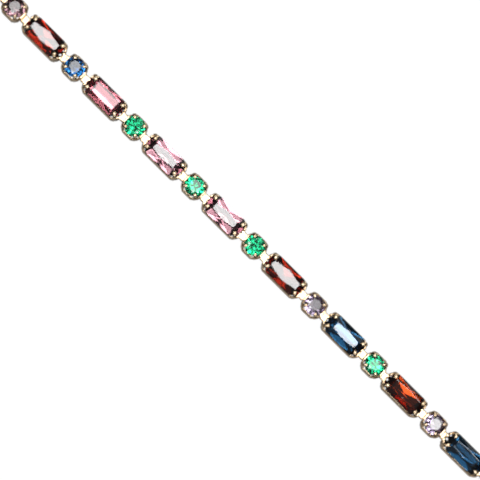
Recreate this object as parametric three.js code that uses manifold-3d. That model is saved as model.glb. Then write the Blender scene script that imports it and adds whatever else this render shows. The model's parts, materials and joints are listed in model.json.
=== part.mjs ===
// A crystal link bracelet, closed and lying flat: small round settings and long baguette settings take turns
// along a straight front and back round an arc to a plain clasp. Millimetres, +Z up, crystals facing up.
import * as THREE from "three";
import { ConvexGeometry } from "three/addons/geometries/ConvexGeometry.js";
import { mergeVertices } from "three/addons/utils/BufferGeometryUtils.js";
import Module from "manifold-3d";

const wasm = await Module();
wasm.setup();

// ---------------------------------------------------------------- driving sizes

// Baguette crystals are 4 x 2 mm, and every other size follows from them.
const baguette = { length: 4.0, width: 2.0, cut: 0.49 };
const round = { radius: 0.98 };

// Both collets are bands of one width with cut corners. The round one is as long as it is wide.
const band = { width: 2.13, cut: 0.48, wall: 0.2, height: 1.25 };
const colletLength = { baguette: 4.48, round: band.width };

// The notch in each end of a baguette collet leaves a low rail, which a strap hooks.
const notch = { halfWidth: 0.55, railTop: 0.46 };

// A flat strap leaves each end of a round collet and hooks down behind the rail of the next baguette collet.
const strap = { low: 0.54, high: 0.76, width: 0.8 };
const hook = { start: 0.29, end: 0.45, low: 0.2 }; // start and end are measured from the middle of the rail
const solderDepth = 0.03;

const pitch = 7.53; // from one baguette to the next
const wallMiddle = band.wall / 2;
const baguetteStep = colletLength.baguette - band.wall; // rail to rail
const roundStep = colletLength.round - band.wall; // wall to wall
const strapStep = (pitch - baguetteStep - roundStep) / 2; // wall to rail

// The baguette crystals' colours, counter-clockwise from the clasp.
const colours = {
  left: ["rose", "navy", "burgundy", "garnet", "flame", "rose", "navy"],
  front: ["garnet", "burgundy", "rose", "rose", "garnet", "navy", "flame", "navy"],
  right: ["burgundy", "rose", "navy", "garnet", "rose", "flame", "burgundy"],
};
const baguetteColours = [...colours.left, ...colours.front, ...colours.right];

// The loop: a straight front, a tight turn at each end, and one wide arc behind.
const loop = { halfStraight: (colours.front.length / 2) * pitch, turnRadius: 6.6 };
loop.turnAngle = THREE.MathUtils.degToRad(111);
loop.backRadius = loop.turnRadius + loop.halfStraight / Math.sin(loop.turnAngle);

const crystalMaterial = (colour) => new THREE.MeshStandardMaterial({ color: colour, roughness: 0.05 });
const materials = {
  gold: new THREE.MeshStandardMaterial({ color: 0xe3c08a, roughness: 0.2, metalness: 1 }),
  garnet: crystalMaterial(0x7a1408),
  burgundy: crystalMaterial(0x6d2435),
  rose: crystalMaterial(0xd9b3c6),
  navy: crystalMaterial(0x10243f),
  flame: crystalMaterial(0xa32a06),
};

// ---------------------------------------------------------------- solids

// A closed three.js geometry as a solid that can be joined and cut.
function solid(geometry) {
  geometry.deleteAttribute("normal");
  geometry.deleteAttribute("uv");
  const merged = mergeVertices(geometry, 1e-5);
  return new wasm.Manifold(
    new wasm.Mesh({
      numProp: 3,
      vertProperties: new Float32Array(merged.attributes.position.array),
      triVerts: new Uint32Array(merged.index.array),
    }),
  );
}

function geometryOf(made) {
  const mesh = made.getMesh();
  const geometry = new THREE.BufferGeometry();
  geometry.setAttribute("position", new THREE.BufferAttribute(new Float32Array(mesh.vertProperties), 3));
  geometry.setIndex(new THREE.BufferAttribute(new Uint32Array(mesh.triVerts), 1));
  const flat = geometry.toNonIndexed();
  flat.computeVertexNormals();
  return flat;
}

const join = (pieces) => pieces.reduce((all, piece) => all.add(piece));

// A solid turned by yaw about Z and then moved.
function placed(made, x, y, yaw) {
  return made.transform(new THREE.Matrix4().makeRotationZ(yaw).setPosition(x, y, 0).elements);
}

// A box from its two corners.
function block(low, high) {
  const size = high.map((value, axis) => value - low[axis]);
  const centre = high.map((value, axis) => (value + low[axis]) / 2);
  return solid(new THREE.BoxGeometry(...size).translate(...centre));
}

// The corners of a rectangle with cut corners, centred on the origin, counter-clockwise.
function cutRectangle(halfLength, halfWidth, cut) {
  const quarter = [
    [halfLength, halfWidth - cut],
    [halfLength - cut, halfWidth],
  ];
  const turned = quarter.map(([x, y]) => [-x, y]).reverse();
  const upper = [...quarter, ...turned];
  return [...upper, ...upper.map(([x, y]) => [-x, -y])];
}

const vectors = (points) => points.map(([x, y]) => new THREE.Vector2(x, y));

// ---------------------------------------------------------------- collets and prongs

// The wall of a setting, open at top and bottom.
function collet(length) {
  const half = length / 2;
  const inset = band.wall * (2 - Math.SQRT2); // keeps the cut corners as thick as the sides
  const outline = new THREE.Shape(vectors(cutRectangle(half, band.width / 2, band.cut)));
  const inside = cutRectangle(half - band.wall, band.width / 2 - band.wall, band.cut - inset);
  outline.holes.push(new THREE.Path(vectors(inside)));
  return solid(new THREE.ExtrudeGeometry(outline, { depth: band.height, bevelEnabled: false }));
}

// A prong's side view, from its foot in the wall to the tip over the crystal: distance out from where the
// corner diagonals cross, along each axis, against height.
const prongWidth = 0.32;
const prongFoot = band.height - 0.05;
const prongProfiles = {
  baguette: [
    [0.7, prongFoot],
    [0.81, prongFoot],
    [0.81, 1.7],
    [0.47, 1.88],
    [0.7, 1.52],
  ],
  round: [
    [0.7, prongFoot],
    [0.81, prongFoot],
    [0.81, 1.52],
    [0.62, 1.76],
    [0.48, 1.6],
  ],
};

// Four prongs, each standing on the cut corner of its collet and leaning in along the diagonal.
function prongs(profile, length) {
  const across = (length - band.width) / 2;
  const side = new THREE.Shape(vectors(profile.map(([out, z]) => [out * Math.SQRT2, z])));
  const bar = new THREE.ExtrudeGeometry(side, { depth: prongWidth, bevelEnabled: false });
  bar.translate(0, 0, -prongWidth / 2).rotateX(Math.PI / 2);
  const prong = solid(bar);
  return join(
    [1, 3, 5, 7].map((eighth) => {
      const angle = (eighth * Math.PI) / 4;
      return placed(prong, Math.sign(Math.cos(angle)) * across, 0, angle);
    }),
  );
}

function baguetteSetting() {
  const length = colletLength.baguette;
  const { halfWidth, railTop } = notch;
  const notches = block([-length, -halfWidth, railTop], [length, halfWidth, 2 * band.height]);
  return collet(length).subtract(notches).add(prongs(prongProfiles.baguette, length));
}

function roundSetting() {
  return collet(colletLength.round).add(prongs(prongProfiles.round, colletLength.round));
}

// A strap from the middle of a round collet's wall at x = 0 to past the rail at x = strapStep. The free one
// hooks down behind that rail, and the soldered one sits on it.
function strapPiece(soldered) {
  const end = strapStep + hook.end;
  const hookStart = strapStep + hook.start;
  const plate = [
    [0, strap.high],
    [end, strap.high],
  ];
  const hooked = [
    [end, hook.low],
    [hookStart, hook.low],
    [hookStart, strap.low],
    [0, strap.low],
  ];
  const underside = notch.railTop - solderDepth;
  const seated = [
    [end, underside],
    [0, underside],
  ];
  const side = new THREE.Shape(vectors([...plate, ...(soldered ? seated : hooked)]));
  const bar = new THREE.ExtrudeGeometry(side, { depth: strap.width, bevelEnabled: false });
  return solid(bar.translate(0, 0, -strap.width / 2).rotateX(Math.PI / 2));
}

// ---------------------------------------------------------------- crystals

const crystalLevels = { keel: 0.52, keelEnd: 0.72, girdleLow: 1.4, girdleHigh: 1.46, table: 1.88 };
const tableSize = { halfLength: 1.42, endHalfWidth: 0.28, midHalfWidth: 0.52 };
const keelHalfLength = 1.2;

// A baguette crystal. Its table bows out at the middle, where one wide triangle on each long side reaches it.
function baguetteCrystal() {
  const outline = cutRectangle(baguette.length / 2, baguette.width / 2, baguette.cut);
  const at = (points, z) => points.map(([x, y]) => new THREE.Vector3(x, y, z));
  const { halfLength, endHalfWidth, midHalfWidth } = tableSize;
  const table = [
    [halfLength, endHalfWidth],
    [0, midHalfWidth],
    [-halfLength, endHalfWidth],
  ];
  const keelEnds = [
    [-keelHalfLength, 0],
    [keelHalfLength, 0],
  ];
  return new ConvexGeometry([
    ...at([...table, ...table.map(([x, y]) => [x, -y])], crystalLevels.table),
    ...at(outline, crystalLevels.girdleHigh),
    ...at(outline, crystalLevels.girdleLow),
    ...at(keelEnds, crystalLevels.keelEnd),
    ...at([[0, 0]], crystalLevels.keel),
  ]);
}

const roundLevels = { culet: 0.55, girdle: 1.38, table: 1.72, tableRadius: 0.58 };

// A round crystal with eight sides, which is joined to its setting.
function roundCrystal() {
  const ring = (radius, z) =>
    [1, 3, 5, 7, 9, 11, 13, 15].map((sixteenth) => {
      const angle = (sixteenth * Math.PI) / 8;
      return new THREE.Vector3(radius * Math.cos(angle), radius * Math.sin(angle), z);
    });
  return solid(
    new ConvexGeometry([
      ...ring(roundLevels.tableRadius, roundLevels.table),
      ...ring(round.radius, roundLevels.girdle),
      new THREE.Vector3(0, 0, roundLevels.culet),
    ]),
  );
}

// ---------------------------------------------------------------- the loop

const turnLength = loop.turnAngle * loop.turnRadius;
const backLength = 2 * (Math.PI - loop.turnAngle) * loop.backRadius;
const loopLength = 2 * loop.halfStraight + 2 * turnLength + backLength;

// A point on an arc that starts at the given point and heading and bends to the left.
function alongArc(start, heading, radius, travelled) {
  const end = heading + travelled / radius;
  return new THREE.Vector2(
    start.x + radius * (Math.sin(end) - Math.sin(heading)),
    start.y - radius * (Math.cos(end) - Math.cos(heading)),
  );
}

// The loop's centreline at a distance from the left end of its straight front, counter-clockwise.
function routePoint(distance) {
  let rest = ((distance % loopLength) + loopLength) % loopLength;
  const start = new THREE.Vector2(-loop.halfStraight, 0);
  if (rest <= 2 * loop.halfStraight) return new THREE.Vector2(start.x + rest, 0);
  rest -= 2 * loop.halfStraight;
  const rightEnd = new THREE.Vector2(loop.halfStraight, 0);
  if (rest <= turnLength) return alongArc(rightEnd, 0, loop.turnRadius, rest);
  rest -= turnLength;
  const backStart = alongArc(rightEnd, 0, loop.turnRadius, turnLength);
  if (rest <= backLength) return alongArc(backStart, loop.turnAngle, loop.backRadius, rest);
  rest -= backLength;
  const backEnd = alongArc(backStart, loop.turnAngle, loop.backRadius, backLength);
  return alongArc(backEnd, 2 * Math.PI - loop.turnAngle, loop.turnRadius, rest);
}

// The distance along the loop at which a rigid step of the given length ends. A negative step goes back.
function stepTo(distance, step) {
  const from = routePoint(distance);
  let to = distance + step;
  for (let i = 0; i < 30; i++) to += Math.sign(step) * (Math.abs(step) - from.distanceTo(routePoint(to)));
  return to;
}

// The distances at which each pair's pieces meet: its first strap's rail, both walls of its round collet and
// both rails of its baguette collet.
const pairSteps = [strapStep, roundStep, strapStep, baguetteStep];
const pairStops = [];
const frontPair = colours.left.length;
for (let pair = frontPair, stop = 0; pair < baguetteColours.length; pair++) {
  pairStops[pair] = [stop];
  for (const step of pairSteps) pairStops[pair].push((stop = stepTo(stop, step)));
}
for (let pair = frontPair - 1, stop = 0; pair >= 0; pair--) {
  pairStops[pair] = [stop];
  for (const step of [...pairSteps].reverse()) pairStops[pair].unshift((stop = stepTo(stop, -step)));
}

// Where a rigid piece between two points lies: its middle and its heading.
function poseBetween(a, b) {
  return { x: (a.x + b.x) / 2, y: (a.y + b.y) / 2, yaw: Math.atan2(b.y - a.y, b.x - a.x) };
}

// A point of the loop as seen from a piece that lies on it.
function relative(point, pose) {
  return point
    .clone()
    .sub(new THREE.Vector2(pose.x, pose.y))
    .rotateAround(new THREE.Vector2(), -pose.yaw);
}

const baguetteMetal = baguetteSetting();
const roundMetal = roundSetting().add(roundCrystal());
const freeStrap = strapPiece(false);
const solderedStrap = strapPiece(true);

// A strap laid from the point on its round collet to the rail that it hooks.
function laidStrap(piece, from, to) {
  return placed(piece, from.x, from.y, Math.atan2(to.y - from.y, to.x - from.x));
}

// One link: a round setting with its crystal and two straps, soldered at one rail to its baguette setting.
function link(points, pose) {
  const [rail, roundStart, roundEnd, ownRail] = points.map((point) => relative(point, pose));
  const roundPose = poseBetween(roundStart, roundEnd);
  return join([
    baguetteMetal,
    placed(roundMetal, roundPose.x, roundPose.y, roundPose.yaw),
    laidStrap(freeStrap, roundStart, rail),
    laidStrap(solderedStrap, roundEnd, ownRail),
  ]);
}

// ---------------------------------------------------------------- the clasp

const clasp = { width: 2.4, height: 1.7, cut: 0.5, bevel: 0.35 };
const thumbTab = { length: 1.6, width: 1.2, height: 0.3 };

// The closed clasp: a plain bevelled case with a thumb tab. A strap at one end hooks the last link's rail,
// and the first link hooks the rail of a frame at the other end.
function claspPiece(span) {
  const caseEnd = span / 2 - strapStep + wallMiddle;
  const outline = new THREE.Shape(vectors(cutRectangle(caseEnd, clasp.width / 2, clasp.cut)));
  const body = new THREE.ExtrudeGeometry(outline, {
    depth: clasp.height - clasp.bevel,
    bevelSize: clasp.bevel,
    bevelThickness: clasp.bevel,
    bevelOffset: -clasp.bevel,
    bevelSegments: 1,
  });
  const flatCase = solid(body).intersect(block([-span, -span, 0], [span, span, clasp.height]));
  const tab = block(
    [-thumbTab.length / 2, -thumbTab.width / 2, clasp.height / 2],
    [thumbTab.length / 2, thumbTab.width / 2, clasp.height + thumbTab.height],
  );
  const frameEnd = span / 2 + wallMiddle;
  const frameEdge = notch.halfWidth + band.wall;
  const frame = block([caseEnd - clasp.cut, -frameEdge, 0], [frameEnd, frameEdge, notch.railTop]);
  const gap = block([caseEnd, -notch.halfWidth, -span], [frameEnd - band.wall, notch.halfWidth, span]);
  const lastStrap = placed(freeStrap, strapStep - span / 2, 0, Math.PI);
  return join([flatCase, tab, frame.subtract(gap), lastStrap]);
}

// ---------------------------------------------------------------- assembly

const bracelet = new THREE.Group();

function addMesh(name, geometry, material, pose) {
  const mesh = new THREE.Mesh(geometry, material);
  mesh.name = name;
  mesh.position.set(pose.x, pose.y, 0);
  mesh.rotation.z = pose.yaw;
  bracelet.add(mesh);
}

const crystalGeometry = baguetteCrystal();
pairStops.forEach((stops, pair) => {
  const number = String(pair + 1).padStart(2, "0");
  const points = stops.map(routePoint);
  const pose = poseBetween(points[3], points[4]);
  addMesh(`link_${number}`, geometryOf(link(points, pose)), materials.gold, pose);
  addMesh(`baguette_crystal_${number}`, crystalGeometry, materials[baguetteColours[pair]], pose);
});

const claspStart = routePoint(pairStops.at(-1).at(-1));
const claspEnd = routePoint(pairStops[0][0]);
const claspSpan = claspStart.distanceTo(claspEnd);
addMesh("clasp", geometryOf(claspPiece(claspSpan)), materials.gold, poseBetween(claspStart, claspEnd));

// The origin is under the middle of the whole loop.
const middle = new THREE.Box3().setFromObject(bracelet, true).getCenter(new THREE.Vector3());
for (const mesh of bracelet.children) mesh.position.sub(new THREE.Vector3(middle.x, middle.y, 0));

export default bracelet;
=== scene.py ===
"""A crystal link bracelet lying flat on a pale table in soft studio light.

Each piece is worked out in millimetres at the origin, then placed in metres where the CAD loop has it.
"""

import json
from math import atan2, cos, pi, radians, sin, sqrt, tan, tau

import bmesh
import bpy
import numpy as np
from mathutils import Matrix, Vector


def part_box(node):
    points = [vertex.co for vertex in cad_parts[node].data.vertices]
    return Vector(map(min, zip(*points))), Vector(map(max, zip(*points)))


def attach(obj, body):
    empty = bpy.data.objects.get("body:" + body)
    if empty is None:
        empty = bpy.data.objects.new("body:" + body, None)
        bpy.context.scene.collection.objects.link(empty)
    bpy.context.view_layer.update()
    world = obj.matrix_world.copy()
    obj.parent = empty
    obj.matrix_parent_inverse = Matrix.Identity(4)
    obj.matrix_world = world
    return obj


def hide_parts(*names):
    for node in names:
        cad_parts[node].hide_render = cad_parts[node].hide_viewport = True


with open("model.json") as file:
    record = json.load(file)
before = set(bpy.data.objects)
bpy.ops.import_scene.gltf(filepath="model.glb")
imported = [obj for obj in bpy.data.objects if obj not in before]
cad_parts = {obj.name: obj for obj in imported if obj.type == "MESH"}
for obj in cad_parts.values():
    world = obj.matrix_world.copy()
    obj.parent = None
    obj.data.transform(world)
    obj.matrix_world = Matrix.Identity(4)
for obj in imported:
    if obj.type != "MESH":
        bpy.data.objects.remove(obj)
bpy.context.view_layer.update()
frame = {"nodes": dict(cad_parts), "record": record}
MM = 0.001

# ---------------------------------------------------------------- sizes, in millimetres

# The wall of every setting: half its width, how far its corners are cut, its thickness and its height.
BAND = {"half_width": 1.065, "cut": 0.48, "wall": 0.2, "height": 1.25}
HALF_LENGTH = {"baguette": 2.24, "round": BAND["half_width"]}
# The low rail that a notch leaves in each end of a long setting: its top, and its place along the setting.
RAIL = {"top": 0.46, "middle": HALF_LENGTH["baguette"] - BAND["wall"] / 2}
# From a round setting's middle to the middle of its wall.
ROUND_WALL = HALF_LENGTH["round"] - BAND["wall"] / 2
STRAP = {"length": 0.66, "width": 0.82, "low": 0.54, "high": 0.76}
# The widest edge of a long crystal. Every crystal leans about the lower of these heights.
GIRDLE = {"low": 1.4, "high": 1.46}
# The signs of X and Y in each quarter of a piece.
QUARTERS = ((1, 1), (-1, 1), (-1, -1), (1, -1))
# How much shorter half a face grows beside a cut corner, for each step in from the outline.
MITRE = tan(pi / 8)

# The round crystals' colours, counter-clockwise from the clasp: down the left, along the front, up the right.
ROUND_COLOURS = {
    "left": ["emerald", "lilac", "emerald", "sapphire", "emerald", "lilac", "emerald"],
    "front": ["rose", "sapphire", "emerald", "emerald", "emerald", "lilac", "emerald", "lilac"],
    "right": ["emerald", "sapphire", "emerald", "lilac", "emerald", "sapphire", "emerald"],
}
ROUNDS = [colour for side in ROUND_COLOURS.values() for colour in side]

# ---------------------------------------------------------------- shader maths


class Wire:
    """A shader socket that takes part in arithmetic. Each operation on values adds its Math node."""

    def __init__(self, finish, socket):
        self.finish, self.socket = finish, socket

    def maths(self, operation, other):
        return self.finish.node("ShaderNodeMath", {"operation": operation}, {0: self, 1: other})

    def __add__(self, other):
        return self.maths("ADD", other)

    def __mul__(self, other):
        return self.maths("MULTIPLY", other)

    __radd__, __rmul__ = __add__, __mul__


class Nodes:
    """A node tree, built by adding nodes. Sockets take numbers, colours or the wires of other nodes."""

    def __init__(self, owner, output):
        owner.use_nodes = True
        self.tree = owner.node_tree
        self.tree.nodes.clear()
        self.output = self.tree.nodes.new(output)

    def node(self, kind, settings=None, values=None, output=0):
        """Adds a node of a kind: first its settings, then the values or wires of its sockets."""
        node = self.tree.nodes.new(kind)
        for name, setting in (settings or {}).items():
            if name == "stops":
                self.set_stops(node.color_ramp.elements, setting)
            else:
                setattr(node, name, setting)
        for name, value in (values or {}).items():
            if isinstance(value, Wire):
                self.tree.links.new(value.socket, node.inputs[name])
            else:
                node.inputs[name].default_value = value
        return Wire(self, node.outputs[output])

    def set_stops(self, elements, stops):
        while len(elements) < len(stops):
            elements.new(1)
        for element, (position, colour) in zip(elements, stops):
            element.position, element.color = position, (*colour, 1)

    def ramp(self, fac, stops):
        return self.node("ShaderNodeValToRGB", {"stops": stops}, {"Fac": fac}, output="Color")

    def mix(self, fac, first, second):
        """One colour turning into another. A Mix node's colours are its sockets 6 and 7, and output 2."""
        values = {"Factor": fac, 6: first, 7: second}
        return self.node("ShaderNodeMix", {"data_type": "RGBA"}, values, output=2)


class Finish(Nodes):
    """A material's nodes, with noise at real size and the shader that ends them."""

    def __init__(self, name):
        self.material = bpy.data.materials.new(name)
        super().__init__(self.material, "ShaderNodeOutputMaterial")

    def noise(self, scale, detail=3):
        """Smooth noise from 0 to 1, its scale in features for each millimetre."""
        position = self.node("ShaderNodeNewGeometry", output="Position")
        values = {"Vector": position, "Scale": scale / MM, "Detail": detail}
        return self.node("ShaderNodeTexNoise", values=values, output="Fac")

    def bump(self, height, strength, distance):
        values = {"Height": height, "Strength": strength, "Distance": distance * MM}
        return self.node("ShaderNodeBump", values=values, output="Normal")

    def surface(self, values):
        shader = self.node("ShaderNodeBsdfPrincipled", values=values)
        self.tree.links.new(shader.socket, self.output.inputs["Surface"])
        return self.material

    def absorb(self, colour, density):
        values = {"Color": (*colour, 1), "Density": density / MM}
        shader = self.node("ShaderNodeVolumeAbsorption", values=values)
        self.tree.links.new(shader.socket, self.output.inputs["Volume"])


# ---------------------------------------------------------------- finishes


def gold_finish():
    """Pale polished gold plating, with faint polishing waves and patches of a warmer tone."""
    gold = Finish("gold_plate")
    patches = gold.noise(0.9, detail=4)
    tones = [(0.3, (0.60, 0.43, 0.26)), (0.52, (0.70, 0.53, 0.35)), (0.75, (0.80, 0.645, 0.45))]
    smears = gold.noise(6.0, detail=5)
    waves = gold.noise(3.2, detail=2)
    return gold.surface(
        {
            "Base Color": gold.ramp(patches, tones),
            "Metallic": 1.0,
            "Roughness": 0.1 + smears * 0.14,
            "Normal": gold.bump(waves, 0.3, 0.012),
        }
    )


# Body colour of each crystal, its tint through a millimetre of depth, and how densely that tint builds up.
CRYSTALS = {
    "garnet": {"body": (0.90, 0.13, 0.05), "tint": (0.44, 0.07, 0.02), "density": 1.2},
    "burgundy": {"body": (0.90, 0.62, 0.67), "tint": (0.60, 0.16, 0.24), "density": 0.8},
    "rose": {"body": (0.95, 0.84, 0.88), "tint": (0.62, 0.44, 0.48), "density": 1.3},
    "navy": {"body": (0.40, 0.74, 0.90), "tint": (0.03, 0.28, 0.42), "density": 1.6},
    "flame": {"body": (0.92, 0.22, 0.04), "tint": (0.45, 0.14, 0.01), "density": 1.0},
    "emerald": {"body": (0.22, 0.82, 0.60), "tint": (0.03, 0.72, 0.56), "density": 1.4},
    "sapphire": {"body": (0.28, 0.60, 0.86), "tint": (0.03, 0.50, 0.75), "density": 1.3},
    "lilac": {"body": (0.85, 0.80, 0.92), "tint": (0.28, 0.09, 0.35), "density": 0.4},
}
REFRACTION = 1.8
PALER = 0.04  # how far towards white a crystal's palest zones go


def crystal_finish(name):
    """Polished clear crystal whose colour deepens with its thickness."""
    crystal = Finish(f"{name}_glass")
    look = CRYSTALS[name]
    body = look["body"]
    zones = crystal.noise(0.7, detail=1)
    pale = tuple(channel + (1 - channel) * PALER for channel in body)
    smears = crystal.noise(2.5, detail=3)
    crystal.absorb(look["tint"], look["density"])
    return crystal.surface(
        {
            "Base Color": crystal.mix(zones, (*body, 1), (*pale, 1)),
            "Roughness": smears * 0.02,
            "IOR": REFRACTION,
            "Transmission Weight": 1.0,
        }
    )


FINISHES = {"gold": gold_finish()} | {f"{name}_crystal": crystal_finish(name) for name in CRYSTALS}

# ---------------------------------------------------------------- mesh tools


def mesh_from(name, shape, smooth_angle=None):
    """A mesh in metres from a bmesh in millimetres. Edges sharper than the angle stay sharp."""
    bmesh.ops.recalc_face_normals(shape, faces=shape.faces)
    bmesh.ops.scale(shape, vec=(MM, MM, MM), verts=shape.verts)
    mesh = bpy.data.meshes.new(name)
    mesh.materials.append(None)
    shape.to_mesh(mesh)
    shape.free()
    if smooth_angle:
        mesh.shade_smooth()
        mesh.set_sharp_from_angle(angle=radians(smooth_angle))
    return mesh


def skin(shape, rings, closed=False):
    """Joins rings of points with quads. An open row of rings gets a flat cap at each end."""
    loops = [[shape.verts.new(point) for point in ring] for ring in rings]
    pairs = list(zip(loops, loops[1:] + (loops[:1] if closed else [])))
    for first, second in pairs:
        for i in range(len(first)):
            shape.faces.new((first[i - 1], first[i], second[i], second[i - 1]))
    if not closed:
        shape.faces.new(loops[0])
        shape.faces.new(reversed(loops[-1]))


FLAT = radians(0.3)  # faces that meet at less than this are one facet


def facets(points):
    """The flat-faced solid round some points, as a crystal is cut."""
    shape = bmesh.new()
    for point in points:
        shape.verts.new(point)
    hull = bmesh.ops.convex_hull(shape, input=shape.verts)
    spare = {v for v in hull["geom_interior"] + hull["geom_unused"] if isinstance(v, bmesh.types.BMVert)}
    bmesh.ops.delete(shape, geom=list(spare), context="VERTS")
    bmesh.ops.dissolve_limit(shape, angle_limit=FLAT, verts=shape.verts, edges=shape.edges)
    return shape


def turned(radius, z, count, start=0.0):
    """A level ring of points, started a share of one step round from +X."""
    turns = [tau * (i + start) / count for i in range(count)]
    return [Vector((radius * cos(turn), radius * sin(turn), z)) for turn in turns]


# ---------------------------------------------------------------- collets


# Along half an end face, as shares of it: how much each corner's rounding takes, how far its middle stations
# stand off the corner, where the low rail's stations lie, and where the notch ends.
CORNER = {"soft": 0.1, "bend": 0.035}
NOTCH = {"rail": (0.3, 0.8), "side": 0.84}


def collet_outline(half_length, half_width, end, notched):
    """Stations round a collet with cut corners: x, y and whether the wall is only a low rail there."""
    side = half_length - (half_width - end)  # half the length of a long face, as end is half an end face
    soft, bend = CORNER["soft"] * end, CORNER["bend"] * end
    quarter = [(half_length, end - soft), (half_length - bend, end + bend)]
    quarter += [(side + bend, half_width - bend), (side - soft, half_width)]
    quarter = [(x, y, False) for x, y in quarter]
    if notched:
        rail = [(half_length, end * share, True) for share in NOTCH["rail"]]
        quarter = rail + [(half_length, end * NOTCH["side"], False)] + quarter
    upper = quarter + [(-x, y, low) for x, y, low in reversed(quarter)]
    return upper + [(-x, -y, low) for x, y, low in upper]


# The wall's section, from its outer foot over the rolled rim to its inner foot: how far in it stands from the
# widest outline, how far in at the upright ends of a long setting, and its height.
WALL_SECTION = [
    (0.20, 0.10, 0.0),
    (0.15, 0.075, 0.015),
    (0.13, 0.065, 0.06),
    (0.01, 0.005, 0.86),
    (0.0, 0.0, 0.96),
    (0.012, 0.006, 1.04),
    (0.035, 0.0175, 1.11),
    (0.068, 0.034, 1.17),
    (0.11, 0.055, 1.21),
    (0.15, 0.075, 1.22),
    (0.18, 0.19, 1.2),
    (0.22, 0.20, 1.1),
    (0.32, 0.20, 0.03),
    (0.29, 0.10, 0.0),
]


def add_collet(shape, half_length, notched):
    """A thin wall that leans in towards the table. The ends of a notched one stand upright."""
    sections = []
    for inset, end_inset, z in WALL_SECTION:
        rail_z = z * RAIL["top"] / BAND["height"]
        reach = half_length - (end_inset if notched else inset)
        end = BAND["half_width"] - BAND["cut"] - inset * MITRE
        stations = collet_outline(reach, BAND["half_width"] - inset, end, notched)
        sections.append([(x, y, rail_z if low else z) for x, y, low in stations])
    skin(shape, sections, closed=True)


# Each prong's centreline: distance out along each axis from where the corner diagonals cross, height,
# and half its breadth and depth.
PRONGS = {
    "baguette": [
        (0.75, 0.05, 0.12, 0.07),
        (0.79, 0.7, 0.16, 0.08),
        (0.80, 1.18, 0.20, 0.10),
        (0.795, 1.38, 0.20, 0.11),
        (0.755, 1.52, 0.18, 0.11),
        (0.69, 1.61, 0.15, 0.10),
        (0.61, 1.65, 0.13, 0.09),
        (0.54, 1.655, 0.10, 0.08),
    ],
    "round": [
        (0.71, 0.05, 0.12, 0.07),
        (0.78, 0.7, 0.16, 0.08),
        (0.80, 1.12, 0.20, 0.10),
        (0.795, 1.26, 0.20, 0.11),
        (0.765, 1.38, 0.18, 0.11),
        (0.71, 1.46, 0.15, 0.10),
        (0.65, 1.5, 0.13, 0.09),
        (0.59, 1.505, 0.10, 0.08),
    ],
}
# How far out each bead lies, the height of its top, and its size against the profile below.
BEADS = {"baguette": (0.525, 1.79, 0.95), "round": (0.58, 1.64, 0.8)}
# A bead's profile: its radius against how far below the top.
BEAD = [(0.19, 0.24), (0.205, 0.17), (0.205, 0.12), (0.19, 0.07), (0.165, 0.035)]
BEAD += [(0.135, 0.014), (0.1, 0.004), (0.04, 0.0)]
PRONG_SIDES, BEAD_SIDES = 14, 18


def add_prongs(shape, kind):
    """Four flat claws on the cut corners, each curling over the crystal and ending in a flattened bead."""
    across = HALF_LENGTH[kind] - BAND["half_width"]
    line = PRONGS[kind]
    bead_out, bead_top, size = BEADS[kind]
    for side_x, side_y in QUARTERS:
        broad = Vector((-side_y, side_x, 0)).normalized()
        points = [Vector((side_x * (across + out), side_y * out, z)) for out, z, _, _ in line]
        rings = []
        for i, (point, (_, _, breadth, depth)) in enumerate(zip(points, line)):
            ahead = points[min(i + 1, len(line) - 1)] - points[max(i - 1, 0)]
            deep = ahead.cross(broad).normalized()
            turns = [tau * k / PRONG_SIDES for k in range(PRONG_SIDES)]
            rings.append([point + breadth * cos(a) * broad + depth * sin(a) * deep for a in turns])
        skin(shape, rings)
        top = Vector((side_x * (across + bead_out), side_y * bead_out, bead_top))
        profile = [turned(radius * size, -drop * size, BEAD_SIDES) for radius, drop in BEAD]
        skin(shape, [[top + point for point in ring] for ring in profile])


def setting_mesh(kind):
    shape = bmesh.new()
    add_collet(shape, HALF_LENGTH[kind], notched=kind == "baguette")
    add_prongs(shape, kind)
    return mesh_from(f"{kind}_setting", shape, smooth_angle=40)


# ---------------------------------------------------------------- straps


# A strap's rounded edge: how far in from its side, as a share of the edge's breadth, against height, as a
# share of half its thickness. Then how far in its narrower underside starts, and the height of that.
STRAP_EDGE = [(0, -0.5), (0, 0.1), (0.12, 0.45), (0.4, 0.76), (0.8, 0.96), (1, 1), (1.3, 1)]
UNDERSIDE = {"inset": 0.03, "height": -0.95}


def add_band(shape, line, middle_y, half_width, edge):
    """A flat band with rounded edges along a line of x, z and half its thickness."""
    section = [(half_width - edge * inset, rise) for inset, rise in STRAP_EDGE]
    section += [(-y, rise) for y, rise in reversed(section)]
    foot = half_width - UNDERSIDE["inset"]
    section += [(-foot, UNDERSIDE["height"]), (foot, UNDERSIDE["height"])]
    rings = []
    for i, (x, z, thick) in enumerate(line):
        before, after = line[max(i - 1, 0)], line[min(i + 1, len(line) - 1)]
        slope = atan2(after[1] - before[1], after[0] - before[0])
        up = Vector((-sin(slope), 0, cos(slope)))
        rings.append([Vector((x, middle_y + y, z)) + up * thick * rise for y, rise in section])
    skin(shape, rings)


# The strap's lip, from inside a round setting over its wall and down: distance out from the wall's middle,
# height, and share of the strap's thickness.
LIP = [
    (-0.06, 1.19, 0.2),
    (-0.045, 1.235, 0.45),
    (0.0, 1.25, 0.5),
    (0.07, 1.25, 0.5),
    (0.12, 1.235, 0.5),
    (0.14, 1.19, 0.4),
    (0.142, 1.05, 0.35),
    (0.142, 0.84, 0.35),
    (0.15, 0.72, 0.4),
]
# Where the lip has bent level: distance out, rise over the strap's middle height, and share of thickness.
FOOT = [(0.185, 0.01, 0.8), (0.24, 0, 1)]
# The strap's far half: distance from the rail's middle, rise and share of thickness.
TIP = [(-0.28, 0, 1), (-0.08, 0, 1), (-0.07, 0, 1), (-0.05, -0.01, 0.7)]
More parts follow.
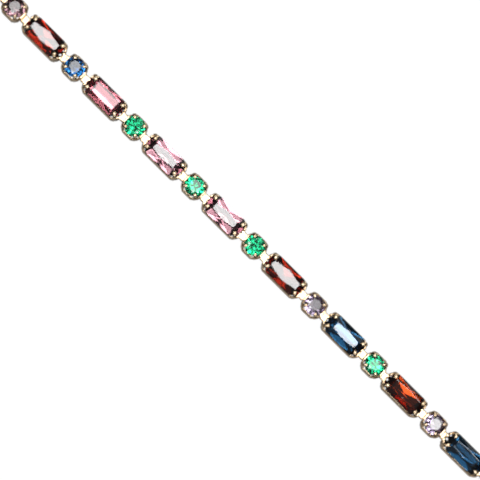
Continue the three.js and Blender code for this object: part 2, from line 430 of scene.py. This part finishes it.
# Each finger, which folds over the rail, in the same way.
FINGER = [
    (-0.2, 0, 0.9),
    (-0.05, 0.008, 0.96),
    (0.1, 0.01, 1),
    (0.2, -0.02, 1),
    (0.27, -0.09, 1),
    (0.3, -0.2, 0.9),
    (0.305, -0.33, 0.6),
]
# Half a finger's width as a share of the strap's, and how far it keeps in from the strap's side.
FINGER_BREADTH = {"share": 0.36, "inset": 0.01}
# The breadth of the rounded edges.
EDGES = {"plate": 0.11, "finger": 0.06}


def strap_mesh():
    """A flat strap, bent up and over a round setting's wall, whose two fingers fold over the next rail."""
    middle = (STRAP["low"] + STRAP["high"]) / 2
    thick = (STRAP["high"] - STRAP["low"]) / 2
    reach, half_width = STRAP["length"], STRAP["width"] / 2
    shape = bmesh.new()
    plate = LIP + [(x, middle + rise, share) for x, rise, share in FOOT]
    plate += [(reach + x, middle + rise, share) for x, rise, share in TIP]
    add_band(shape, [(x, z, share * thick) for x, z, share in plate], 0, half_width, EDGES["plate"])
    fold = [(reach + x, middle + rise, share * thick) for x, rise, share in FINGER]
    finger = half_width * FINGER_BREADTH["share"]
    out = half_width - finger - FINGER_BREADTH["inset"]
    for side in (-1, 1):
        add_band(shape, fold, side * out, finger, EDGES["finger"])
    return mesh_from("strap", shape, smooth_angle=50)


# ---------------------------------------------------------------- crystals

# What all long crystals share: half their length and width, how far their corners are cut, half the length of
# their keel, and the rise of the wide triangles beside the table.
LONG_CRYSTAL = {"half_length": 2.0, "half_width": 1.0, "cut": 0.49, "keel": 1.2, "rise": 0.79}

# The table of each cut: half its length, and half its width at the ends and in the middle.
# Then the height of its keel, and how far that rises towards each end.
CUTS = {
    "garnet": {"length": 1.55, "end": 0.3, "middle": 0.6, "keel": 0.52, "keel_rise": 0.2},
    "burgundy": {"length": 1.3, "end": 0.49, "middle": 0.56, "keel": 0.51, "keel_rise": 0.0},
    "rose": {"length": 1.26, "end": 0.27, "middle": 0.46, "keel": 0.61, "keel_rise": 0.02},
    "navy": {"length": 1.28, "end": 0.29, "middle": 0.46, "keel": 0.56, "keel_rise": 0.0},
    "flame": {"length": 1.46, "end": 0.35, "middle": 0.5, "keel": 0.455, "keel_rise": 0.0},
}
POLISH = {"baguette": 0.04, "round": 0.008}  # how much polishing takes off each edge


def polished(name, shape, edge):
    """A crystal's mesh, its edges taken off by a hair as polishing does."""
    bmesh.ops.bevel(shape, geom=shape.edges, offset=edge, segments=1, affect="EDGES", clamp_overlap=True)
    return mesh_from(name, shape)


def baguette_crystal_mesh(colour):
    """A long crystal whose table bows out where a wide triangle meets it on each side."""
    cut = CUTS[colour]
    length, width, corner = LONG_CRYSTAL["half_length"], LONG_CRYSTAL["half_width"], LONG_CRYSTAL["cut"]
    corners = [(length, width - corner), (length - corner, width)]
    table = [(cut["length"], cut["end"]), (0.0, cut["middle"])]
    top = GIRDLE["high"] + (width - cut["middle"]) * LONG_CRYSTAL["rise"]
    points = [(x * a, y * b, z) for x, y in corners for a, b in QUARTERS for z in GIRDLE.values()]
    points += [(x * a, y * b, top) for x, y in table for a, b in QUARTERS]
    for end in (-1, 0, 1):
        points.append((end * LONG_CRYSTAL["keel"], 0, cut["keel"] + cut["keel_rise"] * abs(end)))
    return polished(f"{colour}_baguette_crystal", facets(points), POLISH["baguette"])


# The cut that all round crystals share. Just under the girdle is a slightly narrower ring, from which the
# facets below start.
ROUND_CROWN = {
    "radius": 0.95,
    "girdle": 1.36,  # the height of the girdle's lower edge
    "rim": 0.04,  # the girdle's thickness
    "table": 0.56,  # how far out the table and the stars reach, as shares of the radius
    "star": 0.77,
    "slope": 33,  # in degrees
    "proud": 1.01,  # how much further up the stars' points stand than that slope takes them
}
UNDER_GIRDLE = {"share": 0.99, "drop": 0.012}
ROUND_SIDES = 8
# How steeply each round crystal slopes in below its girdle, in degrees.
ROUND_CUTS = {"emerald": 42, "sapphire": 35, "lilac": 34, "rose": 34}


def round_crystal_mesh(colour):
    """A round crystal: a table ringed by stars, kites and halves, and eight wide facets below."""
    radius, girdle = ROUND_CROWN["radius"], ROUND_CROWN["girdle"]
    rim = girdle + ROUND_CROWN["rim"]
    slope = tan(radians(ROUND_CROWN["slope"]))
    table_radius, star_radius = ROUND_CROWN["table"] * radius, ROUND_CROWN["star"] * radius
    table = rim + (radius - table_radius) * slope
    star = rim + (radius - star_radius * cos(pi / ROUND_SIDES)) * slope * ROUND_CROWN["proud"]
    tip = Vector((0, 0, girdle - radius * tan(radians(ROUND_CUTS[colour]))))
    points = turned(table_radius, table, ROUND_SIDES) + turned(star_radius, star, ROUND_SIDES, 0.5)
    points += turned(radius, rim, 2 * ROUND_SIDES) + turned(radius, girdle, 2 * ROUND_SIDES)
    points += turned(radius * UNDER_GIRDLE["share"], girdle - UNDER_GIRDLE["drop"], ROUND_SIDES, 0.5)
    return polished(f"{colour}_round_crystal", facets([*points, tip]), POLISH["round"])


# ---------------------------------------------------------------- clasp


# Half the width of the clasp's case, and how far its corners are cut.
CASE = {"half_width": 1.2, "cut": 0.5}
# The case's section, from its foot over the seam to its flat top: how far in it stands, and its height.
CASE_SECTION = [(0.12, 0.0), (0.03, 0.03), (0.0, 0.12), (0.0, 0.78), (0.03, 0.82), (0.03, 0.88), (0.0, 0.92)]
CASE_SECTION += [(0.02, 1.22), (0.1, 1.44), (0.24, 1.6), (0.42, 1.68), (0.6, 1.7)]
# The oval thumb tab, and its section: a share of its size against height.
TAB = {"half_length": 0.8, "half_width": 0.6, "sides": 24}
TAB_SECTION = [(1.0, 1.6), (1.0, 1.86), (0.95, 1.93), (0.84, 1.97), (0.6, 1.985)]
# The frame at the clasp's end: half its width, its corners' radius, and how far it reaches into the case.
CLASP_FRAME = {"half_width": 0.65, "corner": 0.14, "root": 0.3}
# The frame's section: how far out from its centreline against height.
FRAME_SECTION = [(-0.07, 0.0), (-0.1, 0.03), (-0.1, 0.42), (-0.07, 0.46)]
FRAME_SECTION += [(-out, z) for out, z in reversed(FRAME_SECTION)]


def add_case(shape, reach):
    """The softly rounded case, with cut corners and a seam round it."""
    half_width, cut = CASE["half_width"], CASE["cut"]
    rings = []
    for inset, z in CASE_SECTION:
        end = half_width - cut - inset * MITRE
        side = reach - inset - (half_width - inset - end)
        quarter = [(reach - inset, end), (side, half_width - inset)]
        upper = quarter + [(-x, y) for x, y in reversed(quarter)]
        rings.append([(x, y, z) for x, y in upper + [(-x, -y) for x, y in upper]])
    skin(shape, rings)


def add_thumb_tab(shape):
    """The oval tab on top of the case."""
    turns = [tau * k / TAB["sides"] for k in range(TAB["sides"])]
    length, width = TAB["half_length"], TAB["half_width"]
    rings = []
    for size, z in TAB_SECTION:
        rings.append([(length * size * cos(a), width * size * sin(a), z) for a in turns])
    skin(shape, rings)


def add_frame(shape, case, rail):
    """The low frame at the clasp's end, whose rail the first link's strap hooks."""
    corner, edge = CLASP_FRAME["corner"], CLASP_FRAME["half_width"]
    stations = [(case - CLASP_FRAME["root"], edge, pi / 2)]
    for turn in (pi / 2, 3 * pi / 8, pi / 4, pi / 8, 0):
        stations.append((rail - corner + corner * cos(turn), edge - corner + corner * sin(turn), turn))
    stations += [(x, -y, -turn) for x, y, turn in reversed(stations)]
    rings = []
    for x, y, turn in stations:
        rings.append([(x + out * cos(turn), y + out * sin(turn), z) for out, z in FRAME_SECTION])
    skin(shape, rings)


def clasp_mesh(span):
    """The closed clasp between two rails: its case, its thumb tab and the frame that ends it."""
    case = span / 2 - STRAP["length"] + BAND["wall"] / 2
    shape = bmesh.new()
    add_case(shape, case)
    add_thumb_tab(shape)
    add_frame(shape, case, span / 2)
    return mesh_from("clasp", shape, smooth_angle=45)


# ---------------------------------------------------------------- where the pieces lie


def lying(node):
    """Where a long CAD piece lies: its middle and the direction of its length, in millimetres."""
    points = np.array([v.co.xy / MM for v in frame["nodes"][node].data.vertices])
    low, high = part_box(node)
    spread = points - points.mean(0)
    length_wise = np.linalg.eigh(spread.T @ spread)[1][:, -1]
    return (low + high).xy / 2 / MM, Vector(length_wise)


def place(name, mesh, finish, nodes, middle, heading, lean=(0, 0)):
    """A piece in its place round the loop, standing for the CAD nodes that hold its form."""
    piece = bpy.data.objects.new(name, mesh)
    bpy.context.scene.collection.objects.link(piece)
    turn = Matrix.Rotation(atan2(heading.y, heading.x), 4, "Z")
    seat = Matrix.Translation((0, 0, GIRDLE["low"] * MM))
    tilt = Matrix.Rotation(radians(lean[0]), 4, "X") @ Matrix.Rotation(radians(lean[1]), 4, "Y")
    piece.matrix_world = Matrix.Translation((*middle * MM, 0)) @ turn @ seat @ tilt @ seat.inverted()
    piece.material_slots[0].link = "OBJECT"
    piece.material_slots[0].material = FINISHES[finish]
    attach(piece, "root")
    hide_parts(*nodes)


MESHES = {
    "baguette_setting": setting_mesh("baguette"),
    "round_setting": setting_mesh("round"),
    "strap": strap_mesh(),
}
MESHES |= {f"{colour}_round_crystal": round_crystal_mesh(colour) for colour in ROUND_CUTS}
MESHES |= {f"{colour}_crystal": baguette_crystal_mesh(colour) for colour in CUTS}

SLOTS = {part["node"]: part["material_slot"] for part in frame["record"]["subparts"]}
NUMBERS = [f"{pair + 1:02d}" for pair in range(len(ROUNDS))]
CRYSTAL_PLACES = [lying(f"baguette_crystal_{number}") for number in NUMBERS]

# Each heading runs counter-clockwise, towards the next crystal.
for pair, (middle, heading) in enumerate(CRYSTAL_PLACES):
    ahead = CRYSTAL_PLACES[(pair + 1) % len(NUMBERS)][0] - CRYSTAL_PLACES[pair - 1][0]
    if heading.dot(ahead) < 0:
        heading.negate()


# How far some crystals lean, in degrees: to one side, and towards one end.
LEANS = {
    "crystal_09": (-3.7, 0.4),
    "crystal_14": (-5, 0.5),
    "crystal_15": (-5, -0.5),
    "round_crystal_08": (-3.4, 0.3),
    "round_crystal_09": (-3.6, 0.5),
    "round_crystal_10": (4, 1),
    "round_crystal_11": (-3.6, -0.5),
    "round_crystal_12": (4.5, 1),
    "round_crystal_13": (-3.5, 0.5),
    "round_crystal_14": (-3.4, 0.5),
    "round_crystal_15": (0.5, 0.3),
}
SLIGHT_LEAN = 0.6  # the most that any other crystal leans each way


def lean_of(name):
    """A crystal's own lean, or else a slight one that differs from seat to seat."""
    pair = int(name[-2:])
    return LEANS.get(name, (SLIGHT_LEAN * sin(2.4 * pair), SLIGHT_LEAN * cos(3.7 * pair)))


def clasp_ends():
    """The last link's rail, which the clasp's strap hooks, and the clasp's own rail."""
    middle, heading = CRYSTAL_PLACES[-1]
    last_rail = middle + heading * RAIL["middle"]
    corners = [v.co.xy / MM for v in frame["nodes"]["clasp"].data.vertices]
    centre, along = lying("clasp")
    if along.dot(centre - last_rail) < 0:
        along.negate()
    reach = max((corner - last_rail).dot(along) for corner in corners)
    return last_rail, last_rail + along * (reach - BAND["wall"] / 2)


def between(rail, next_rail):
    """A round setting's middle and heading, and its two walls, between the rails of its neighbours.

    Where the rails come closer than the straps are long, the setting bows out of their line.
    """
    gap = next_rail - rail
    along = gap.normalized()
    outward = Vector((along.y, -along.x))
    slack = (gap.length - 2 * ROUND_WALL) / 2
    bow = sqrt(max(STRAP["length"] ** 2 - slack**2, 0))
    middle = (rail + next_rail) / 2 + outward * bow
    return middle, along, middle - along * ROUND_WALL, middle + along * ROUND_WALL


def place_link(pair, number, rail):
    """One length of the bracelet, from the rail behind it. Gives back its own far rail."""
    link, crystal = f"link_{number}", f"baguette_crystal_{number}"
    round_name, long_name = f"round_crystal_{number}", f"crystal_{number}"
    round_slot, long_slot = f"{ROUNDS[pair]}_crystal", SLOTS[crystal]
    round_mesh = MESHES[f"{ROUNDS[pair]}_round_crystal"]
    middle, heading = CRYSTAL_PLACES[pair]
    next_rail = middle - heading * RAIL["middle"]
    round_middle, round_heading, near_wall, far_wall = between(rail, next_rail)
    place(f"baguette_setting_{number}", MESHES["baguette_setting"], "gold", [link], middle, heading)
    place(f"round_setting_{number}", MESHES["round_setting"], "gold", [link], round_middle, round_heading)
    place(f"strap_{number}_back", MESHES["strap"], "gold", [link], near_wall, rail - near_wall)
    place(f"strap_{number}_ahead", MESHES["strap"], "gold", [link], far_wall, next_rail - far_wall)
    place(round_name, round_mesh, round_slot, [link], round_middle, round_heading, lean_of(round_name))
    place(long_name, MESHES[long_slot], long_slot, [crystal], middle, heading, lean_of(long_name))
    return middle + heading * RAIL["middle"]


def place_clasp(first_rail, second_rail):
    """The clasp from the last link's rail to its own, with the strap that hooks the last link."""
    gap = second_rail - first_rail
    heading = gap.normalized()
    strap_start = first_rail + heading * STRAP["length"]
    place("clasp_case", clasp_mesh(gap.length), "gold", ["clasp"], (first_rail + second_rail) / 2, heading)
    place("clasp_strap", MESHES["strap"], "gold", ["clasp"], strap_start, -heading)


last_rail, clasp_rail = clasp_ends()
rail = clasp_rail
for pair, number in enumerate(NUMBERS):
    rail = place_link(pair, number, rail)
place_clasp(last_rail, clasp_rail)

# ---------------------------------------------------------------- camera

FRONT = CRYSTAL_PLACES[len(ROUND_COLOURS["left"])][0].y  # the straight front's own line
# How high the camera looks from, and how far it is turned, so that the front runs corner to corner.
ELEVATION, ROLL = radians(79), radians(44.8)
LENS, SENSOR = 135, 36
VIEW_WIDTH = 42.7  # how much of the front the view takes in
DISTANCE = VIEW_WIDTH * LENS / SENSOR
AIM = Vector((0.25, FRONT - 0.58, GIRDLE["low"]))


def add_camera():
    """A long lens, looking down on the middle of the front."""
    camera = bpy.data.objects.new("camera", bpy.data.cameras.new("camera"))
    camera.data.lens, camera.data.sensor_width = LENS, SENSOR
    camera.data.clip_start, camera.data.clip_end = 0.005, 20
    back = Vector((0, -cos(ELEVATION), sin(ELEVATION)))
    level, upright = Vector((1, 0, 0)), Vector((0, sin(ELEVATION), cos(ELEVATION)))
    right = cos(ROLL) * level + sin(ROLL) * upright
    up = cos(ROLL) * upright - sin(ROLL) * level
    turn = Matrix((right, up, back)).transposed().to_4x4()
    camera.matrix_world = Matrix.Translation((AIM + back * DISTANCE) * MM) @ turn
    bpy.context.scene.collection.objects.link(camera)
    bpy.context.scene.camera = camera


# ---------------------------------------------------------------- table and light


TABLE = {"reach": 3000, "thickness": 5}
# How brightly the table glows, and how much of what the camera sees of it is that glow.
GLOW = {"strength": 1.13, "share": 0.88}


def add_table():
    """A white table that glows to the camera alone, so that it stays white up to the bracelet's edge."""
    reach = TABLE["reach"]
    shape = bmesh.new()
    corners = ((reach, -reach), (reach, reach), (-reach, reach), (-reach, -reach))
    skin(shape, [[(x, y, z) for x, y in corners] for z in (-TABLE["thickness"], 0)])
    table = bpy.data.objects.new("table", mesh_from("table", shape))
    paper = Finish("paper")
    grain = paper.noise(0.08, detail=2)
    white = paper.mix(grain, (0.42, 0.42, 0.42, 1), (0.45, 0.45, 0.45, 1))
    matt = paper.node("ShaderNodeBsdfDiffuse", values={"Color": white})
    glow = paper.node("ShaderNodeEmission", values={"Color": (1, 1, 1, 1), "Strength": GLOW["strength"]})
    seen = paper.node("ShaderNodeLightPath", output="Is Camera Ray")
    both = paper.node("ShaderNodeMixShader", values={"Fac": seen * GLOW["share"], 1: matt, 2: glow})
    paper.tree.links.new(both.socket, paper.output.inputs["Surface"])
    table.data.materials[0] = paper.material
    bpy.context.scene.collection.objects.link(table)


def add_softbox(name, centre, size, radiance, aim):
    """A soft light panel, its places in millimetres, with the brightness that a mirror would show."""
    data = bpy.data.lights.new(name, "AREA")
    data.shape, data.size, data.size_y = "RECTANGLE", size[0] * MM, size[1] * MM
    data.energy = radiance * pi * data.size * data.size_y
    panel = bpy.data.objects.new(name, data)
    facing = (centre - aim).to_track_quat("Z", "Y").to_matrix().to_4x4()
    panel.matrix_world = Matrix.Translation(centre * MM) @ facing
    panel.visible_camera = False
    bpy.context.scene.collection.objects.link(panel)


def add_world():
    """A dim studio, darker towards the horizon, that the camera sees as a plain pale backdrop."""
    world = bpy.data.worlds.new("studio")
    studio = Nodes(world, "ShaderNodeOutputWorld")
    direction = studio.node("ShaderNodeTexCoord", output="Generated")
    height = studio.node("ShaderNodeSeparateXYZ", values={"Vector": direction}, output="Z")
    greys = [(0.0, 0.03), (0.45, 0.05), (0.87, 0.16), (1.0, 0.2)]
    shade = studio.ramp(height, [(position, (grey,) * 3) for position, grey in greys])
    seen = studio.node("ShaderNodeLightPath", output="Is Camera Ray")
    backdrop = studio.mix(seen, shade, (0.92, 0.92, 0.92, 1))
    sky = studio.node("ShaderNodeBackground", values={"Color": backdrop})
    studio.tree.links.new(sky.socket, studio.output.inputs["Surface"])
    bpy.context.scene.world = world


add_camera()
add_table()
add_world()

PANEL_HEIGHT = 400
SPREAD = 1 + PANEL_HEIGHT / DISTANCE  # how a place on the row grows in its mirror image at that height


def add_panel(name, along, lean_from, lean_to, radiance):
    """A panel over a stretch of the row, between two leans in degrees from upright, away from the viewer."""
    low, high = (PANEL_HEIGHT * tan(radians(lean)) for lean in (lean_from, lean_to))
    left, right = (end * SPREAD for end in along)
    centre = Vector(((left + right) / 2, FRONT + (low + high) / 2, PANEL_HEIGHT))
    add_softbox(name, centre, (right - left, high - low), radiance, Vector((centre.x, centre.y, 0)))


def add_side_panel(name, turn, lift, size, radiance):
    """A panel round the row, at a turn from +X and a lift from the table, in degrees."""
    turn, lift = radians(turn), radians(lift)
    away = Vector((cos(turn) * cos(lift), sin(turn) * cos(lift), sin(lift)))
    row = Vector((0, FRONT, 0))
    add_softbox(name, row + away * PANEL_HEIGHT, size, radiance, row)


# Along the front, level tables mirror the mirrored panel, tables that lean away by about 3.5 degrees mirror
# the dim ones, and the rest mirror the dark between them. The other panels light the slopes and the gold.
add_side_panel("far_panel", 90, 41, (420, 60), 5)
add_side_panel("horizon_panel", 90, 21, (800, 70), 0.35)
add_panel("mirrored_panel", (-33, 31), 8.5, 13.5, 8.6)
add_panel("dim_panel", (-43, -12), 17, 20, 4.6)
add_panel("right_dim_panel", (-12, 24), 17, 20, 3.2)
add_panel("middle_panel", (-31, 31), -9, -1, 2.6)
add_panel("near_panel", (-31, 31), -24, -15, 9)
add_side_panel("west_panel", 180, 55, (200, 42), 8)
add_side_panel("east_panel", 0, 55, (200, 42), 8)

scene = bpy.context.scene
scene.view_settings.view_transform = "Standard"
scene.cycles.use_denoising = True
scene.cycles.filter_width = 2.1
scene.cycles.max_bounces = 24
scene.cycles.transmission_bounces = 24
scene.cycles.glossy_bounces = 12
scene.cycles.caustics_refractive = True
scene.cycles.caustics_reflective = True
scene.cycles.sample_clamp_indirect = 8
